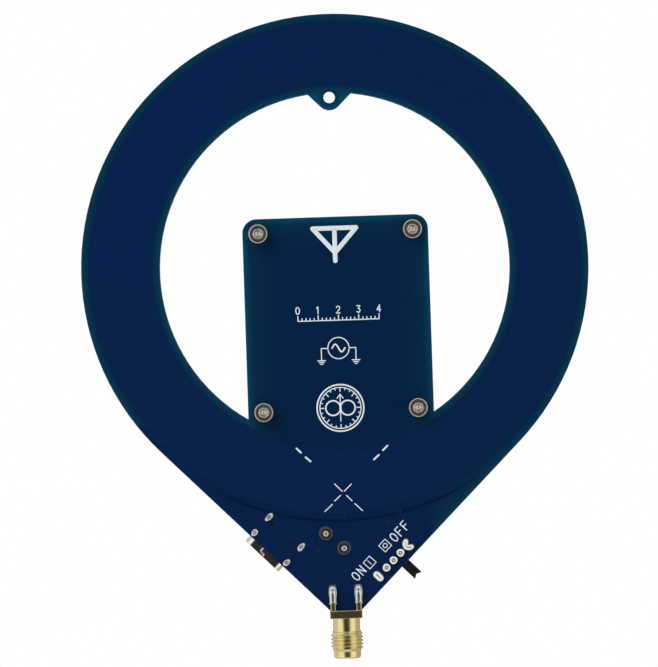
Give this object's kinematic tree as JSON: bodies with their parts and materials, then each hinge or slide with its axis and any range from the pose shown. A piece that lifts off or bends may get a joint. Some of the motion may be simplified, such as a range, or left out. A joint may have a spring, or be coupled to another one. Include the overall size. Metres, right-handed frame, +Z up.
{
  "type": "active loop antenna",
  "caption": "Flat ring-shaped circuit board with a printed loop, a tongue that carries a battery, and a tail with a coaxial jack, a charging socket and a slide switch.",
  "frame": {"origin": "centre of the coaxial jack's rim, at its open end", "axes": "+Z up from the jack to the top of the ring, -Y out of the soldered side, +Y out of the side with the parts, +X to the right as the soldered side is looked at"},
  "size_m": [0.1, 0.0152, 0.1271],
  "materials": {
    "blue_board": "dark blue solder mask on glass-epoxy laminate",
    "masked_track": "copper track under dark blue solder mask",
    "gold_plate": "pale gold plate on turned brass",
    "white_sleeve": "waxy white fluoropolymer",
    "solder": "bright hand-soldered tin",
    "fluxed_solder": "tin under a brown film of flux",
    "stainless": "drawn stainless sheet, mirror-like",
    "black_moulding": "black moulded thermoplastic",
    "contact_gold": "gold flash on bronze",
    "nickel_steel": "nickel-plated steel",
    "brown_moulding": "brown phenolic moulding",
    "pouch_foil": "laminated aluminium foil",
    "guard_board": "green solder mask",
    "polyimide": "amber polyimide film",
    "foam": "white closed-cell foam tape",
    "red_insulation": "red silicone insulation",
    "black_insulation": "black silicone insulation",
    "brass": "machined brass",
    "screw_steel": "nickel-plated alloy steel",
    "chip_epoxy": "black moulding compound",
    "tinned_lead": "matt tin",
    "tantalum": "yellow epoxy moulding",
    "lamp_resin": "clear resin over a phosphor",
    "resistor_film": "black overglaze on alumina",
    "ceramic": "tan multilayer ceramic"
  },
  "bodies": {
    "antenna": {"main_board": "blue_board", "rear_winding": "masked_track", "front_winding": "masked_track", "sma_shell": "gold_plate", "sma_dielectric": "white_sleeve", "sma_contact": "contact_gold", "sma_solder": "solder", "usb_shell": "stainless", "usb_moulding": "black_moulding", "usb_contacts": "contact_gold", "usb_lug_solder": "solder", "switch_frame": "nickel_steel", "switch_base": "brown_moulding", "switch_terminals": "tinned_lead", "switch_pin_solder": "solder", "switch_tab_solder": "solder", "battery_cell": "pouch_foil", "battery_tabs": "tinned_lead", "battery_guard_board": "guard_board", "battery_tape": "polyimide", "battery_foam": "foam", "battery_lead_positive": "red_insulation", "battery_lead_negative": "black_insulation", "battery_lead_solder": "fluxed_solder", "cover_plate": "blue_board", "standoffs": "brass", "rear_screws": "screw_steel", "cover_screws": "screw_steel", "amplifier_chip": "chip_epoxy", "amplifier_leads": "tinned_lead", "charger_chip": "chip_epoxy", "charger_leads": "tinned_lead", "bulk_capacitor": "tantalum", "charge_lamps": "lamp_resin", "chip_resistors": "resistor_film", "chip_capacitors": "ceramic"},
    "switch_lever": {"switch_slider": "black_moulding", "switch_wiper": "contact_gold"}
  },
  "joints": [
    {"name": "switch_slide", "type": "slide", "parent": "antenna", "child": "switch_lever", "axis": [-0.7071, 0, -0.7071], "range_m": [0, 0.002]}
  ]
}
